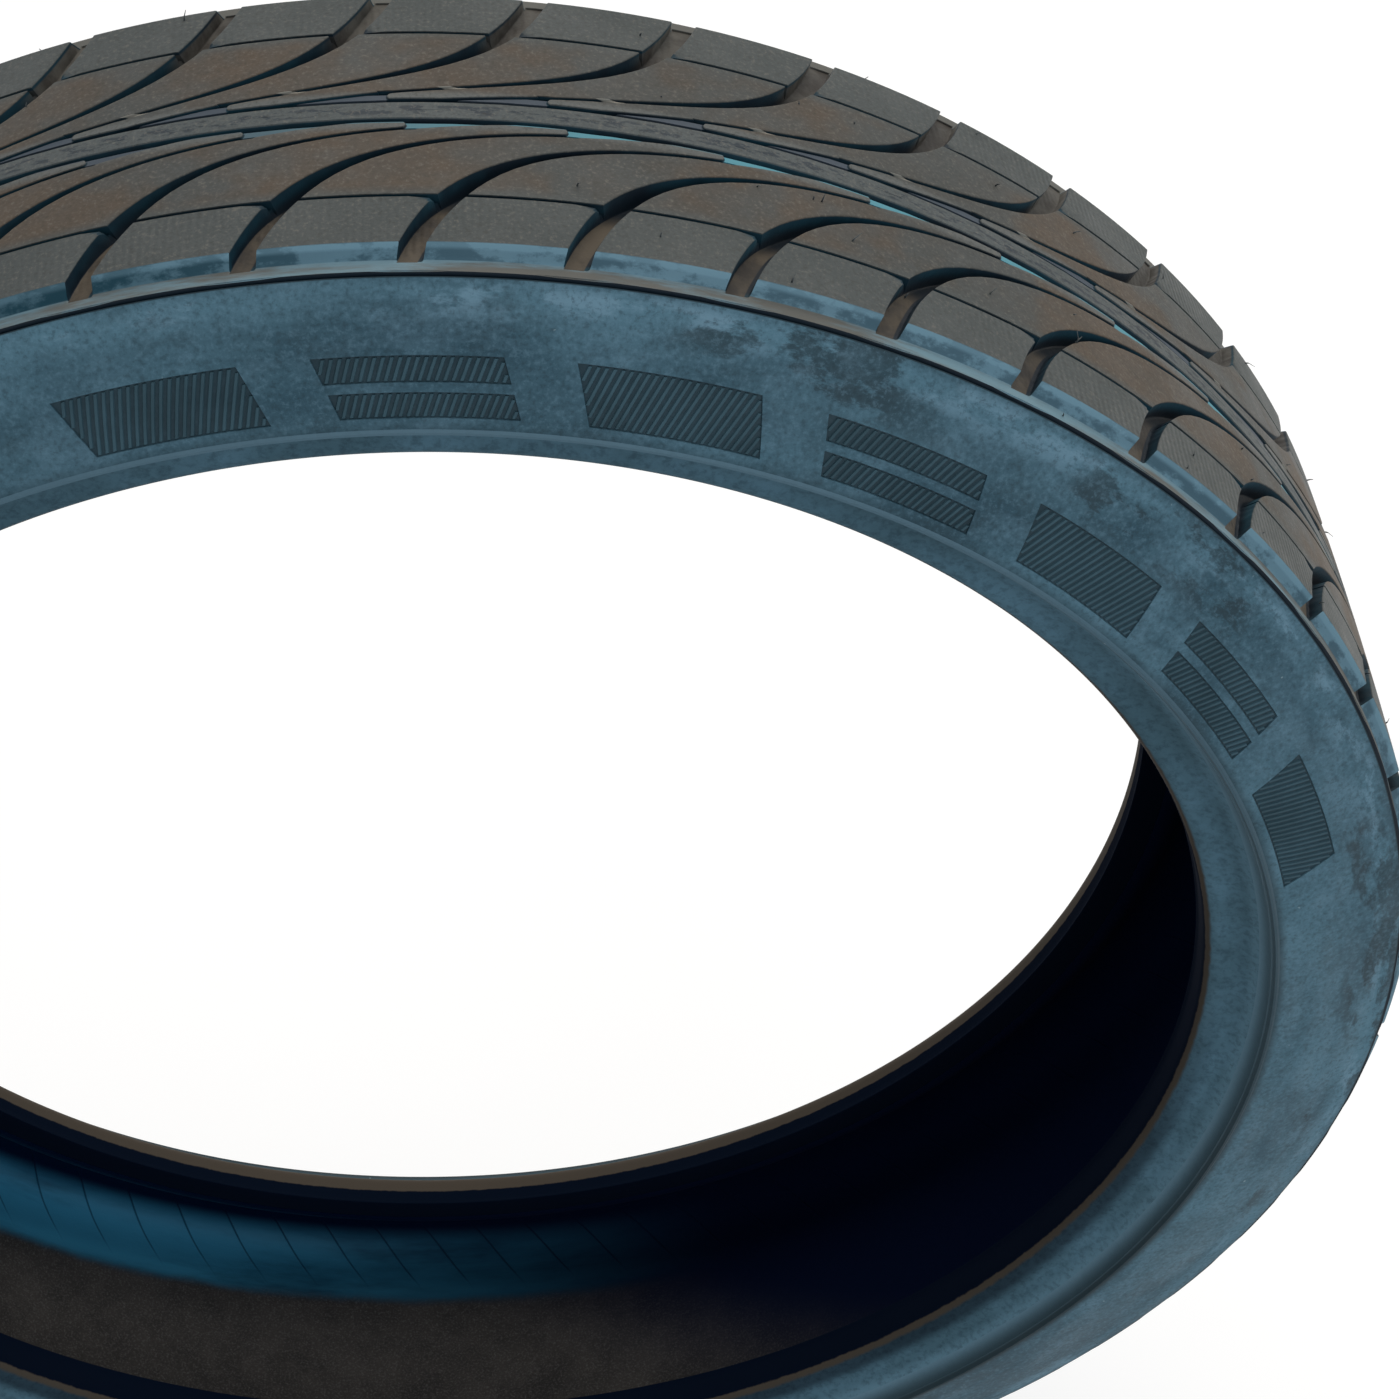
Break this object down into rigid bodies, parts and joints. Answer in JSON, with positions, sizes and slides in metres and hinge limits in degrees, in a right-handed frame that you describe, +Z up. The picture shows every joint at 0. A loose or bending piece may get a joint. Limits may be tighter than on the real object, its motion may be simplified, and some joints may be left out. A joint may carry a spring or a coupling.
{
  "type": "tyre",
  "caption": "Low-profile tubeless tyre on a 15 inch seat, curved grooves sweeping from each shoulder into the crown, open at the beads for its rim.",
  "frame": {"origin": "centre of the tyre, on the wheel axis midway between the two sides", "axes": "+Y along the wheel axis towards the left side, +Z up as it stands on its tread"},
  "size_m": [0.483, 0.1142, 0.483],
  "materials": {
    "tread_rubber": "dull moulded tread rubber",
    "wall_rubber": "smooth moulded sidewall rubber with a faint bloom",
    "bead_rubber": "hard abrasion rubber at the bead",
    "under_rubber": "calendered rubber",
    "liner_rubber": "airtight liner rubber, bladder marked",
    "hard_rubber": "stiff bead filler rubber",
    "belt_cord": "rubberised belt cord",
    "ply_cord": "rubberised textile ply cord",
    "chafer_cloth": "woven chafer strip",
    "bead_wire": "bronze coated bead wire"
  },
  "bodies": {
    "root": {"tread_cap": "tread_rubber", "tread_base": "under_rubber", "cap_ply": "belt_cord", "belt_upper": "belt_cord", "belt_lower": "belt_cord", "belt_wedge_left": "under_rubber", "belt_wedge_right": "under_rubber", "body_ply_outer": "ply_cord", "body_ply_inner": "ply_cord", "inner_liner": "liner_rubber", "sidewall_left": "wall_rubber", "sidewall_right": "wall_rubber", "rim_cushion_left": "bead_rubber", "rim_cushion_right": "bead_rubber", "chafer_left": "chafer_cloth", "chafer_right": "chafer_cloth", "bead_filler_left": "hard_rubber", "bead_filler_right": "hard_rubber", "bead_coating_left": "hard_rubber", "bead_coating_right": "hard_rubber", "bead_wires_left": "bead_wire", "bead_wires_right": "bead_wire"}
  },
  "joints": []
}
